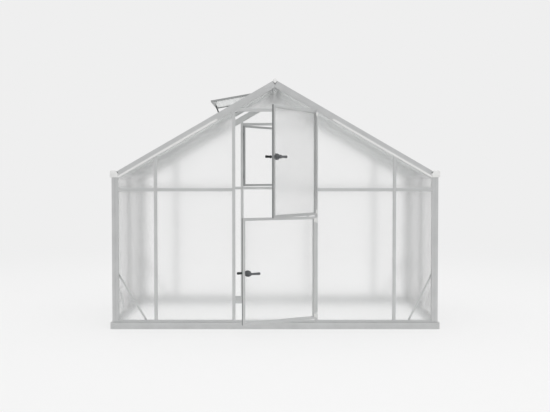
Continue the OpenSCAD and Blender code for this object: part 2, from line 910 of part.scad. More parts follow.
// Round bar along Y from y0 to y1
module turned(y0, y1, r) {
    translate([0, y1, 0])
        rotate([90, 0, 0])
            cylinder(r = r, h = y1 - y0, $fn = smooth);
}

// Flat lever around y, from the spindle to a round end at x = reach
module lever(y, thick, height, reach) {
    end = reach - sign(reach) * height / 2;
    translate([0, y + thick / 2, 0])
        rotate([90, 0, 0])
            linear_extrude(thick) {
                circle(r = height / 2 + 3, $fn = smooth);
                translate([end, 0]) circle(r = height / 2, $fn = smooth);
                translate([min(0, end), -height / 2]) square([abs(end), height]);
            }
}

module lower_leaf_frame() { color(ALU) on_leaf(lower_open) leaf_frame(lower_z0, lower_z1); }
module lower_leaf_sheet() { color(SHEET) on_leaf(lower_open) leaf_sheet(lower_z0, lower_z1, lower_handle_z); }
module lower_leaf_hinges() { color(PALE) on_leaf(lower_open) leaf_hinges(lower_z0, lower_z1); }
module lower_lock_plates() { color(BLACK) on_leaf(lower_open) lock_plates(lower_handle_z); }
module lower_handle() { color(BLACK) on_leaf(lower_open) handle(lower_handle_z); }

module upper_leaf_frame() { color(ALU) on_leaf(upper_open) leaf_frame(upper_z0, upper_z1); }
module upper_leaf_sheet() { color(SHEET) on_leaf(upper_open) leaf_sheet(upper_z0, upper_z1, upper_handle_z); }
module upper_leaf_hinges() { color(PALE) on_leaf(upper_open) leaf_hinges(upper_z0, upper_z1); }
module upper_lock_plates() { color(BLACK) on_leaf(upper_open) lock_plates(upper_handle_z); }
module upper_handle() { color(BLACK) on_leaf(upper_open) handle(upper_handle_z); }

base_front();
base_back();
base_left();
base_right();
sills();
corner_posts();
front_posts();
back_posts();
side_posts();
front_rails();
back_rails();
side_rails();
door_head();
front_rafters();
middle_rafters();
back_rafters();
ridge_beam();
gutter_left();
gutter_right();
end_caps();
corner_braces();
front_sheets();
back_sheets();
left_sheets();
right_sheets();
roof_sheets_left();
roof_sheets_right();
vent_bar();
vent_frame();
vent_sheet();
vent_fittings();
window_frame();
window_sheet();
window_fittings();
hinge_brackets();
lower_leaf_frame();
lower_leaf_sheet();
lower_leaf_hinges();
lower_lock_plates();
lower_handle();
upper_leaf_frame();
upper_leaf_sheet();
upper_leaf_hinges();
upper_lock_plates();
upper_handle();
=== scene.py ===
"""Looks of a walk-in greenhouse: aluminium profiles, multi-wall polycarbonate sheets and their fittings."""
import json
import math

import bmesh
import bpy
from mathutils import Matrix, Vector


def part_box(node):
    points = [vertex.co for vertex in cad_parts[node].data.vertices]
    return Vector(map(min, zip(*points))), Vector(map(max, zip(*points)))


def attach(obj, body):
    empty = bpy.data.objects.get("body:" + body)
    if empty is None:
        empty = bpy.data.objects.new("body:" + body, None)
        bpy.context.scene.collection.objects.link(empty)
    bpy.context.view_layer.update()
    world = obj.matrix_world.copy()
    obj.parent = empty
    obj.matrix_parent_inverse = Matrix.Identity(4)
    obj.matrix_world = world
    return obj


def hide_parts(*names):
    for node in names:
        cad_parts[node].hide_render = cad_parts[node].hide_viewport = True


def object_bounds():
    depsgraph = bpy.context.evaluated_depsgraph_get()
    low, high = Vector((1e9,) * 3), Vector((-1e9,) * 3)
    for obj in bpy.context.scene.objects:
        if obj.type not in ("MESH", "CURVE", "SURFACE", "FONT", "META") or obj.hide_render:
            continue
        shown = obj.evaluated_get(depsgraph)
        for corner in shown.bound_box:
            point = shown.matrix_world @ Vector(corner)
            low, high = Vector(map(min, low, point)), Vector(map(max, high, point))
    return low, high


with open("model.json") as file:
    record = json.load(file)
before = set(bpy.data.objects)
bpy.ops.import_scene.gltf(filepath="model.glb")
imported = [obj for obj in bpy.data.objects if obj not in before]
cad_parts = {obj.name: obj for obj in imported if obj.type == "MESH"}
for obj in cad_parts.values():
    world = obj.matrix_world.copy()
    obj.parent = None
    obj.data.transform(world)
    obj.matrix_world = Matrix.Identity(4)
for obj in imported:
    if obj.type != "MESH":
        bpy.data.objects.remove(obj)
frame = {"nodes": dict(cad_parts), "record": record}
CAD_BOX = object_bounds()
CENTRE = (CAD_BOX[0] + CAD_BOX[1]) / 2

bl_info = {
    "name": "Polycarbonate greenhouse",
    "version": (1, 0, 0),
    "blender": (4, 5, 0),
    "location": "View3D > Sidebar > Greenhouse",
    "description": "Finishes and fittings of a walk-in greenhouse",
    "category": "Object",
}

MM = 0.001
UP = Vector((0, 0, 1))
OVERLENGTH = 0.5  # metres that a strip runs past the ridge before it is cut
NOISE_REACH = {"From Min": 0.3, "From Max": 0.7}  # nearly all of a noise texture's values
TOUCH = 1e-6  # metres between points that count as one
SHEET_EDGE_AREA = 0.012  # square metres; a sheet's narrow sides are smaller, its faces larger
PLATE = 8 * MM  # height of the inner lock plate's collar
BARREL_CORNERS = 60  # a hinge barrel's solid has more corners, a stay's or a block's has fewer
BODY_OF = {node: body for body, nodes in frame["record"]["behaviour"]["bodies"].items() for node in nodes}
SLOT_OF = {part["node"]: part["material_slot"] for part in frame["record"]["subparts"]}
JOINTS = {joint["name"]: joint for joint in frame["record"]["behaviour"]["joints"]}
LEAVES = ("lower", "upper")
ROOF_SHEETS = ("roof_sheets_left", "roof_sheets_right", "vent_sheet")

# Each mitred frame: its sheet, the direction that two of its bars run in, and the side that is outside.
MITRED = {
    "lower_leaf_frame": ("lower_leaf_sheet", (0, 0, 1), (0, -1, 0)),
    "upper_leaf_frame": ("upper_leaf_sheet", (0, 0, 1), (0, -1, 0)),
    "window_frame": ("window_sheet", (0, 0, 1), (0, 1, 0)),
    "vent_frame": ("vent_sheet", (0, 1, 0), (0, 0, 1)),
}
MILL_ALUMINIUM = "mill_finished_aluminium"
# A darker copy of the mill aluminium: painted shade for the ridge beam's underside and the vent's and
# window's sashes.
SHADED_ALUMINIUM = "painted_shade_aluminium"
ZINC = "zinc_plated_steel"
PALE_PLASTIC = "moulded_pale_plastic"
BLACK_NYLON = "moulded_black_nylon"
# A lighter grey copy of the black plastic: painted sheen on the outer levers and roses.
SHEEN_GREY_PLASTIC = "moulded_plastic_painted_sheen"
GLAZING_SEAL = "soft_glazing_seal"
# The seal's dark grey is painted shade on the door leaves' free edges.
PAINTED_SHADE_SEAL = "rubber_painted_shade_seal"
FINISH_OF = {"aluminium": MILL_ALUMINIUM, "pale_plastic": PALE_PLASTIC, "black_plastic": BLACK_NYLON}


# ---- sizes and colours ----

def hex_colour(default, name, things):
    """A property that holds the colour of some things as an sRGB hex value."""
    return bpy.props.StringProperty(name=name, description="Colour of the " + things, default=default)


def millimetres(default, name, description):
    """A property that holds one length, whose default is given in millimetres."""
    return bpy.props.FloatProperty(name=name, description=description, default=default * MM, unit="LENGTH")


class FinishColours(bpy.types.PropertyGroup):
    """Colours of the finishes, as sRGB hex values"""
    aluminium: hex_colour("c9caca", "Aluminium", "mill-finished bars")
    # The sash colour is painted shade: a darker copy of the aluminium for the sashes and the ridge beam,
    # which stand in shade.
    sash: hex_colour("a4a6a6", "Sash aluminium", "darker vent and window sashes and the ridge")
    zinc: hex_colour("c4c5c3", "Zinc", "plated screws and bolts")
    sheet: hex_colour("ffffff", "Wall sheets", "walls' and doors' multi-wall sheets")
    roof_sheet: hex_colour("fcfffe", "Roof sheets", "roof's multi-wall sheets")
    seal: hex_colour("e8eae9", "Seal", "soft glazing seals")
    # This dark grey is painted shade along the leaf's free edge.
    painted_shade_seal: hex_colour("7f8181", "Closing seal", "seal on a door leaf's free edge")
    pale_plastic: hex_colour("dededd", "Pale plastic", "end caps and hinges")
    black_plastic: hex_colour("363839", "Black plastic", "latch arms and stays")
    # This grey is the black plastic lightened: painted sheen on the outer levers and roses.
    painted_sheen_plastic: hex_colour("56585a", "Dark grey plastic", "outer levers and roses")
    backdrop: hex_colour("efefef", "Backdrop", "backdrop and the far floor")
    floor: hex_colour("f7f7f7", "Floor", "floor near the house")


class FrameSizes(bpy.types.PropertyGroup):
    """Sizes of the bars' edges, seals, strips, bolts and screws"""
    rounding: millimetres(0.8, "Edge rounding", "Rounding of the extruded bars' edges")
    mitre_gap: millimetres(0.25, "Mitre gap", "Half the open line at a mitred corner")
    bar: millimetres(24, "Leaf bar", "Width of the door leaves' bars")
    sash_bar: millimetres(22, "Sash bar", "Width of the vent's and window's bars")
    groove: millimetres(9, "Groove depth", "Depth of the grooves that hold the sheets")
    rebate: millimetres(5, "Rebate", "Step round a door leaf's inner side")
    flange: millimetres(18, "Flange", "Thickness of a door leaf outside its rebate")
    seal: millimetres(1.5, "Seal width", "Width of a glazing seal beside a bar")
    corner: millimetres(58, "Corner post", "Width of each leg of a corner post")
    cover: millimetres(19, "Cover strip", "Height of the cover strip under an end rafter")
    strip: millimetres(14, "Closing strip", "How far the strip laps over a roof sheet's lower end")
    bolt: millimetres(5, "Bolt head", "Radius of a hexagon head")
    screw: millimetres(3.4, "Screw head", "Radius of a screw's round head")


class HandleSizes(bpy.types.PropertyGroup):
    """Sizes of the door handles"""
    rose: millimetres(28, "Rose radius", "Radius of the round plate on each side of a leaf")
    dome: millimetres(32, "Dome height", "Height of the outer plate's dome")
    lever: millimetres(98, "Lever length", "Length of the outer lever from the spindle")
    lever_height: millimetres(24, "Lever height", "Height of the levers")
    latch: millimetres(80, "Latch arm length", "Length of the inner arm; level, it holds the leaf shut")
    lever_out: millimetres(46, "Lever distance", "From the leaf's middle to the lever's middle")
    latch_in: millimetres(55, "Latch distance", "From the leaf's middle to the latch arm's middle")


class StageSizes(bpy.types.PropertyGroup):
    """Where the camera stands, measured from the base frame's front"""
    distance: millimetres(7392, "Camera distance", "Distance of the camera from the base frame")
    height: millimetres(1360, "Camera height", "Height of the camera over the floor")
    lens: bpy.props.FloatProperty(
        name="Focal length", description="Focal length of the camera in millimetres", default=53.35)
    pitch: bpy.props.FloatProperty(
        name="Camera tilt", description="Tilt of the camera, negative downwards",
        default=math.radians(-1.83), subtype="ANGLE")


# ---- materials ----

def linear(tone, alpha=1.0):
    """Turns an sRGB hex colour such as "b8babb" into the linear colour that a socket takes."""
    parts = [int(tone[i:i + 2], 16) / 255 for i in (0, 2, 4)]
    bent = [c / 12.92 if c <= 0.04045 else ((c + 0.055) / 1.055) ** 2.4 for c in parts]
    return (*bent, alpha)


def shaded(tone, factor):
    """The same hex colour, lighter or darker."""
    return "".join(f"{min(255, round(int(tone[i:i + 2], 16) * factor)):02x}" for i in (0, 2, 4))


def add_node(tree, kind, inputs=None, output=0, **settings):
    """Adds a shader node, sets its properties, fills or links its inputs, and gives one of its outputs."""
    node = tree.nodes.new("ShaderNode" + kind)
    for name, value in settings.items():
        setattr(node, name, value)
    for socket, value in (inputs or {}).items():
        if isinstance(value, bpy.types.NodeSocket):
            tree.links.new(value, node.inputs[socket])
        else:
            node.inputs[socket].default_value = value
    return node.outputs[output] if node.outputs else None


def new_material(name):
    """Makes an empty node material and gives its tree."""
    material = bpy.data.materials.new(name)
    material.use_nodes = True
    material.node_tree.nodes.clear()
    return material.node_tree


def drawn_aluminium(name, colour):
    """Extruded aluminium, mill finished: bare satin metal with faint lines from the die along each bar.

    The die's lines are 0.1 to 0.5 mm apart, too fine to show from a few metres. They are drawn 2 mm apart.
    A slow mottling of about 120 mm stands for handling and oxide.
    """
    tree = new_material(name)
    along_bar = add_node(tree, "UVMap", uv_map="draw")
    stretched = add_node(tree, "Mapping", {"Vector": along_bar, "Scale": (1.5, 1 / (2 * MM), 1)})
    lines = add_node(tree, "TexNoise", {"Vector": stretched, "Scale": 1.0, "Roughness": 0.6})
    place = add_node(tree, "TexCoord", output="Object")
    mottle = add_node(tree, "TexNoise", {"Vector": place, "Scale": 8.0, "Detail": 3.0, "Roughness": 0.55})
    both = add_node(tree, "Mix", {0: 0.5, 2: lines, 3: mottle})
    tone = add_node(tree, "MapRange", {"Value": both, **NOISE_REACH})
    colours = add_node(tree, "Mix", {
        0: tone, 6: linear(shaded(colour, 0.965)), 7: linear(shaded(colour, 1.035))}, 2, data_type="RGBA")
    satin = add_node(tree, "MapRange", {"Value": lines, **NOISE_REACH, "To Min": 0.27, "To Max": 0.35})
    relief = add_node(tree, "Bump", {"Height": lines, "Strength": 0.12, "Distance": 0.1 * MM})
    shader = add_node(tree, "BsdfPrincipled", {
        "Base Color": colours, "Metallic": 1.0, "Roughness": satin, "Normal": relief})
    add_node(tree, "OutputMaterial", {0: shader})


def plated_zinc(colour):
    """Zinc-plated steel of the screws and bolts: brighter and a little smoother than the bars."""
    tree = new_material(ZINC)
    place = add_node(tree, "TexCoord", output="Object")
    spangle = add_node(tree, "TexNoise", {"Vector": place, "Scale": 900.0, "Detail": 1.0})
    satin = add_node(tree, "MapRange", {"Value": spangle, **NOISE_REACH, "To Min": 0.24, "To Max": 0.36})
    shader = add_node(tree, "BsdfPrincipled", {
        "Base Color": linear(colour), "Metallic": 1.0, "Roughness": satin})
    add_node(tree, "OutputMaterial", {0: shader})


def multiwall_sheet(name, colour, turn):
    """Multi-wall polycarbonate, extruded 6 mm thick: clear skins that milk over what stands behind them.

    Its upright walls, the flutes, are 6 mm apart, and show as faint stripes. turn is the angle of the
    sheet's width from the X axis, seen from above, so that the stripes run along the sheet.
    """
    tree = new_material(name)
    place = add_node(tree, "TexCoord", output="Object")
    turned = add_node(tree, "Mapping", {"Vector": place, "Rotation": (0, 0, -turn)})
    flutes = add_node(
        tree, "TexWave", {"Vector": turned, "Scale": math.tau / (20 * 6 * MM)}, "Fac")
    cloud = add_node(tree, "TexNoise", {"Vector": place, "Scale": 3.0})
    striped = add_node(tree, "MapRange", {"Value": flutes, "From Min": 0.72, "To Max": 0.7})
    depth = add_node(tree, "Math", {0: striped, 1: cloud}, operation="MULTIPLY")
    tint = add_node(tree, "Mix", {
        0: depth, 6: linear(colour), 7: linear(shaded(colour, 0.955))}, 2, data_type="RGBA")
    shader = add_node(tree, "BsdfPrincipled", {
        "Base Color": tint, "Roughness": 0.22, "IOR": 1.42, "Transmission Weight": 1.0})
    lamps_pass = add_node(tree, "BsdfTransparent", {"Color": linear("fdfefd")})
    shadow_ray = add_node(tree, "LightPath", output="Is Shadow Ray")
    mix = add_node(tree, "MixShader", {0: shadow_ray, 1: shader, 2: lamps_pass})
    add_node(tree, "OutputMaterial", {0: mix})


def moulded_plastic(name, colour, roughness, grain):
    """Injection-moulded plastic with a fine spark-eroded grain. The grain is 0.1 mm, drawn 1 mm wide."""
    tree = new_material(name)
    place = add_node(tree, "TexCoord", output="Object")
    skin = add_node(tree, "TexNoise", {"Vector": place, "Scale": 1 / MM})
    patches = add_node(tree, "TexNoise", {"Vector": place, "Scale": 40.0})
    colours = add_node(tree, "Mix", {
        0: patches, 6: linear(shaded(colour, 0.97)), 7: linear(shaded(colour, 1.03))}, 2, data_type="RGBA")
    relief = add_node(tree, "Bump", {"Height": skin, "Strength": grain, "Distance": 0.1 * MM})
    shader = add_node(tree, "BsdfPrincipled", {
        "Base Color": colours, "Roughness": roughness, "IOR": 1.5, "Normal": relief})
    add_node(tree, "OutputMaterial", {0: shader})


# ---- shapes ----

def merged_copy(node):
    """A bmesh of a CAD node with its loose triangles joined and its flat faces whole again."""
    bm = bmesh.new()
    bm.from_mesh(frame["nodes"][node].data)
    bmesh.ops.remove_doubles(bm, verts=bm.verts, dist=0.01 * MM)
    bmesh.ops.dissolve_limit(bm, angle_limit=math.radians(0.5), verts=bm.verts, edges=bm.edges)
    return bm


def sharp_edges(bm, degrees=30):
    """The edges between two faces that meet at more than this angle."""
    return [e for e in bm.edges if len(e.link_faces) == 2 and e.calc_face_angle() > math.radians(degrees)]


def rounded(bm, edges, radius, segments=2):
    """Rounds these edges."""
    bmesh.ops.bevel(
        bm, geom=edges, offset=radius, segments=segments, profile=0.5, affect="EDGES",
        clamp_overlap=True, material=-1)


def lay_draw_lines(bm):
    """Gives each face a map whose first direction runs along the bar, as the die's lines do."""
    layer = bm.loops.layers.uv.new("draw")
    for face in bm.faces:
        longest = max(face.edges, key=lambda edge: edge.calc_length())
        along = (longest.verts[1].co - longest.verts[0].co).normalized()
        across = face.normal.cross(along)
        for loop in face.loops:
            loop[layer].uv = (loop.vert.co.dot(along), loop.vert.co.dot(across))


def new_object(bm, name, finish):
    """Turns a bmesh into an object with one finish."""
    mesh = bpy.data.meshes.new(name)
    bm.to_mesh(mesh)
    bm.free()
    mesh.materials.append(bpy.data.materials[finish])
    made = bpy.data.objects.new(name, mesh)
    bpy.context.scene.collection.objects.link(made)
    return made


def keep(bm, name, finish, node, stands_in=True):
    """Makes a piece of a bmesh, which rides on a CAD node's body, and may stand in for the node."""
    if not bm.faces:
        raise RuntimeError(f"{name} has no faces")
    bmesh.ops.recalc_face_normals(bm, faces=bm.faces)
    lay_draw_lines(bm)
    piece = new_object(bm, name, finish)
    piece.data.polygons.foreach_set("use_smooth", [True] * len(piece.data.polygons))
    piece.data.set_sharp_from_angle(angle=math.radians(20))
    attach(piece, BODY_OF[node])
    if stands_in:
        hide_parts(node)


def islands(bm):
    """The separate solids in a bmesh, each as a list of its vertices."""
    left = dict.fromkeys(bm.verts)
    while left:
        group = [left.popitem()[0]]
        for vert in group:
            for edge in vert.link_edges:
                near = edge.other_vert(vert)
                if near in left:
                    del left[near]
                    group.append(near)
        yield group


def placed(at, out, turn=0.0):
    """A matrix whose Z runs along out from the point at."""
    facing = Vector(out).to_track_quat("Z", "Y").to_matrix().to_4x4()
    return Matrix.Translation(at) @ facing @ Matrix.Rotation(turn, 4, "Z")


def turned_body(bm, outline, place, steps=32):
    """Spins an outline of (radius, height) points round the Z axis of place into a closed body."""
    before = set(bm.verts)
    verts = [bm.verts.new((r, 0, h)) for r, h in outline]
    loop = [bm.edges.new(pair) for pair in zip(verts, verts[1:])]
    if outline[0][0] > 0 and outline[-1][0] > 0:
        loop.append(bm.edges.new((verts[-1], verts[0])))
    bmesh.ops.spin(bm, geom=verts + loop, axis=UP, angle=math.tau, steps=steps, use_merge=True)
    body = [vert for vert in bm.verts if vert not in before]
    bmesh.ops.transform(bm, matrix=place, verts=body)
    bmesh.ops.remove_doubles(bm, verts=body, dist=0.01 * MM)


def hexagon_bolt(bm, at, out, radius):
    """A hexagon head on its washer, with the bolt's end standing a little proud."""
    place = placed(at, out, turn=0.3)
    for r1, r2, low, depth, segments in (
            (1.9, 1.8, 0.0, 0.25, 20), (1.12, 1.0, 0.25, 0.7, 6), (0.5, 0.4, 0.95, 0.35, 10)):
        middle = Matrix.Translation((0, 0, radius * (low + depth / 2)))
        bmesh.ops.create_cone(
            bm, cap_ends=True, segments=segments, radius1=r1 * radius, radius2=r2 * radius,
            depth=depth * radius, matrix=place @ middle)


def round_screw(bm, at, out, radius):
    """A low round screw head with a slot across it."""
    place = placed(at, out, turn=0.7)
    turned_body(bm, [
        (0, 0), (radius, 0), (radius, 0.25 * radius), (0.8 * radius, 0.5 * radius),
        (0.5 * radius, 0.62 * radius), (0.42 * radius, 0.4 * radius), (0, 0.4 * radius)], place, steps=14)


class SashPlace:
    """The box of a mitred frame. place turns (across, out, along) from its low corner to the house's axes."""

    def __init__(self, node):
        self.sheet, rise, outside = MITRED[node]
        rise = Vector(rise)
        broad = max(frame["nodes"][self.sheet].data.polygons, key=lambda face: face.area).normal
        self.out = broad * math.copysign(1, broad.dot(Vector(outside)))
        self.across = self.out.cross(rise).normalized()
        self.axes = (self.across, self.out, rise)
        spans = [self.span(node, axis) for axis in self.axes]
        self.low = Vector([low for low, high in spans])
        self.size = Vector([high - low for low, high in spans])
        corner = sum((axis * low for axis, low in zip(self.axes, self.low)), Vector())
        self.place = Matrix.Translation(corner) @ Matrix(self.axes).transposed().to_4x4()

    def span(self, node, axis):
        """How far a node reaches along a direction."""
        reach = [vert.co.dot(axis) for vert in frame["nodes"][node].data.vertices]
        return min(reach), max(reach)


def mitred_frame(bm, size, outline, gap):
    """Four bars round a rectangle, mitred at the corners. outline holds (distance inwards, height) points."""
    wide, high = size.x, size.z
    sides = (
        ((0, 0), (1, 0), (0, 1), wide), ((wide, 0), (0, 1), (-1, 0), high),
        ((wide, high), (-1, 0), (0, -1), wide), ((0, high), (0, -1), (1, 0), high))
    for corner, ahead, inwards, length in sides:
        corner, ahead, inwards = (Vector((x, 0, z)) for x, z in (corner, ahead, inwards))
        start = [
            bm.verts.new(corner + ahead * (u + gap) + inwards * u + Vector((0, v, 0))) for u, v in outline]
        end = bmesh.ops.extrude_face_region(bm, geom=[bm.faces.new(start)])
        for vert in end["geom"]:
            if isinstance(vert, bmesh.types.BMVert):
                inset = (vert.co - corner).dot(inwards)
                vert.co += ahead * (length - 2 * (inset + gap))


def block_between(bm, low, high, place=Matrix()):
    """A rectangular block between two corners, which are measured in place's frame."""
    low, high = Vector(low), Vector(high)
    middle = Matrix.Translation((low + high) / 2) @ Matrix.Diagonal((*(high - low), 1))
    return bmesh.ops.create_cube(bm, size=1, matrix=place @ middle)["verts"]


def edges_of(verts):
    """The edges that run between these vertices."""
    inside = set(verts)
    near = (edge for vert in verts for edge in vert.link_edges if edge.other_vert(vert) in inside)
    return list(dict.fromkeys(near))


def faces_of(verts):
    """The faces that meet at these vertices."""
    return list(dict.fromkeys(face for vert in verts for face in vert.link_faces))


def reach_of(verts):
    """The lowest and highest corners of some vertices."""
    return [Vector([pick(vert.co[i] for vert in verts) for i in range(3)]) for pick in (min, max)]


def rounded_solids(node, radius, segments=2):
    """A node's rounded bmesh, and (low corner, high corner, number of corners) of each solid in it."""
    bm = merged_copy(node)
    solids = [(*reach_of(group), len(group)) for group in islands(bm)]
    rounded(bm, sharp_edges(bm, 50), radius, segments)
    return bm, solids


def knuckles(bm, low_end, high_end, radius):
    """Three hinge knuckles between two points with fine gaps, and the pin's round ends."""
    length = (high_end - low_end).length
    place = placed(low_end, high_end - low_end)
    third, gap, edge = length / 3, 0.4 * MM, 0.6 * MM
    for start in (0, third, 2 * third):
        low, high = start + gap, start + third - gap
        turned_body(bm, [
            (0, low), (radius, low), (radius + edge, low + edge), (radius + edge, high - edge),
            (radius, high), (0, high)], place, steps=24)
    for base, way in ((0, -1), (length, 1)):
        turned_body(bm, [
            (0, base), (0.55 * radius, base), (0.5 * radius, base + way * 0.9 * MM),
            (0, base + way * 1.3 * MM)], place, steps=20)


def lever(bm, place, reach, thick, height, hub):
    """Builds a lever along X of place in an empty bmesh, tapered in height towards a rounded end."""
    way = math.copysign(1.0, reach)
    verts = block_between(bm, (0, -thick / 2, -height / 2), (abs(reach), thick / 2, height / 2))
    free = [vert for vert in verts if vert.co.x > 0]
    near = [vert for vert in verts if vert.co.x <= 0]
    bmesh.ops.scale(bm, vec=(1, 0.8, 1), verts=free)
    bmesh.ops.scale(bm, vec=(1, 1, 0.72), verts=near)
    ends = [edge for edge in edges_of(free) if abs(edge.verts[0].co.z - edge.verts[1].co.z) < TOUCH]
    rounded(bm, ends, height * 0.42, segments=5)
    rounded(bm, sharp_edges(bm, 50), 1.5 * MM)
    bmesh.ops.transform(bm, matrix=place @ Matrix.Diagonal((way, 1, 1, 1)), verts=bm.verts)
    turned_body(bm, [
        (0, -thick / 2 - 1 * MM), (hub - 2.5 * MM, -thick / 2 - 1 * MM), (hub, -thick / 2 + 1.5 * MM),
        (hub, thick / 2 - 2 * MM), (hub - 3 * MM, thick / 2), (0, thick / 2)],
        place @ Matrix.Rotation(-math.pi / 2, 4, "X"))


def leaf_place(leaf):
    """A leaf's own directions at its spindle, as a matrix: X to the free edge, Y outwards, Z up."""
    spindle, hinge = JOINTS[leaf + "_handle_turn"], JOINTS[leaf + "_leaf_hinge"]
    ahead = ((Vector(spindle["pos_m"]) - Vector(hinge["pos_m"])) * Vector((1, 1, 0))).normalized()
    out = UP.cross(ahead)
    if out.dot(Vector(spindle["axis"])) > 0:
        out = -out
    return Matrix.Translation(spindle["pos_m"]) @ Matrix((ahead, out, UP)).transposed().to_4x4()


# ---- steps ----

class GREENHOUSE_OT_finishes(bpy.types.Operator):
    """Makes the finishes and gives every construction piece its own"""
    bl_idname = "greenhouse.finishes"
    bl_label = "Finishes"

    def execute(self, context):
        colours = context.scene.greenhouse_colours
        drawn_aluminium(MILL_ALUMINIUM, colours.aluminium)
        # The darker copy paints shade on the sashes and the ridge beam.
        drawn_aluminium(SHADED_ALUMINIUM, colours.sash)
        plated_zinc(colours.zinc)
        for name, colour, roughness, grain in (
                (PALE_PLASTIC, colours.pale_plastic, 0.5, 0.1),
                (BLACK_NYLON, colours.black_plastic, 0.42, 0.25),
                (SHEEN_GREY_PLASTIC, colours.painted_sheen_plastic, 0.42, 0.25),
                (GLAZING_SEAL, colours.seal, 0.6, 0.05),
                (PAINTED_SHADE_SEAL, colours.painted_shade_seal, 0.6, 0.05)):
            moulded_plastic(name, colour, roughness, grain)
        turns = {node: math.pi / 2 for node in ("left_sheets", "right_sheets", *ROOF_SHEETS)}
        for sash in map(SashPlace, MITRED):
            turns.setdefault(sash.sheet, math.atan2(sash.across.y, sash.across.x))
        for node, slot in SLOT_OF.items():
            finish = FINISH_OF.get(slot) or self.sheet_finish(node, turns.get(node, 0.0), colours)
            materials = frame["nodes"][node].data.materials
            materials.clear()
            materials.append(bpy.data.materials[finish])
        return {"FINISHED"}

    def sheet_finish(self, node, turn, colours):
        """The finish of sheets that face this way, which is made for the first of them."""
        kind, tint = ("roof_", colours.roof_sheet) if node in ROOF_SHEETS else ("", colours.sheet)
        name = f"multiwall_polycarbonate_{kind}{round(math.degrees(turn) % 180)}"
        if name not in bpy.data.materials:
            multiwall_sheet(name, tint, turn)
        return name


class GREENHOUSE_OT_profiles(bpy.types.Operator):
    """Rounds the edges of the extruded posts, rails, rafters, gutters and base bars"""
    bl_idname = "greenhouse.profiles"
    bl_label = "Extruded profiles"

    def execute(self, context):
        sizes = context.scene.greenhouse_sizes
        for node, slot in SLOT_OF.items():
            if slot == "aluminium" and node not in MITRED:
                bm = merged_copy(node)
                rounded(bm, sharp_edges(bm), sizes.rounding)
                # The ridge beam takes the darker copy of the aluminium: painted shade on its underside.
                keep(bm, node + "_profile", SHADED_ALUMINIUM if node == "ridge_beam" else MILL_ALUMINIUM, node)
        return {"FINISHED"}


class GREENHOUSE_OT_mitred_frames(bpy.types.Operator):
    """Builds the mitred frames of the two door leaves, the roof vent and the back window"""
    bl_idname = "greenhouse.mitred_frames"
    bl_label = "Leaf and sash frames"

    def execute(self, context):
        sizes = context.scene.greenhouse_sizes
        for node in MITRED:
            sash = SashPlace(node)
            leaf = node.endswith("leaf_frame")
            # The vent's and window's sashes take the darker copy of the aluminium: painted shade.
            bar, finish = (sizes.bar, MILL_ALUMINIUM) if leaf else (sizes.sash_bar, SHADED_ALUMINIUM)
            bm = bmesh.new()
            mitred_frame(bm, sash.size, self.section(sash, sizes, bar, leaf), sizes.mitre_gap)
            bmesh.ops.recalc_face_normals(bm, faces=bm.faces)
            corners = [
                edge for edge in sharp_edges(bm) if edge.calc_length() > bar * 2
                and all(min(abs(v.co.y), abs(v.co.y - sash.size.y)) < TOUCH for v in edge.verts)
                and self.at_side(edge, sash.size, bar)]
            rounded(bm, corners, sizes.rounding)
            bmesh.ops.transform(bm, matrix=sash.place, verts=bm.verts)
            keep(bm, node + "_mitred", finish, node)
        return {"FINISHED"}

    def section(self, sash, sizes, bar, leaf):
        """A bar's outline: the sheet's groove, a sunk line on the outer face, and a leaf's stepped side."""
        thick, line, play, half, sink = sash.size.y, 0.62 * bar, 0.3 * MM, 0.5 * MM, 1 * MM
        bed = bar - sizes.groove
        low, high = (reach - sash.low.y for reach in sash.span(sash.sheet, sash.out))
        step = thick - sizes.flange
        inner_side = [(0, step), (sizes.rebate, step), (sizes.rebate, 0)] if leaf else [(0, 0)]
        return [
            *inner_side, (bar, 0), (bar, low - play), (bed, low - play), (bed, high + play),
            (bar, high + play), (bar, thick), (line + half, thick), (line + half, thick - sink),
            (line - half, thick - sink), (line - half, thick), (0, thick)]

    def at_side(self, edge, size, bar):
        """True if the edge lies on the outer or the inner side of the bars."""
        middle = (edge.verts[0].co + edge.verts[1].co) / 2
        inset = min(middle.x, size.x - middle.x, middle.z, size.z - middle.z)
        return inset < TOUCH or abs(inset - bar) < TOUCH


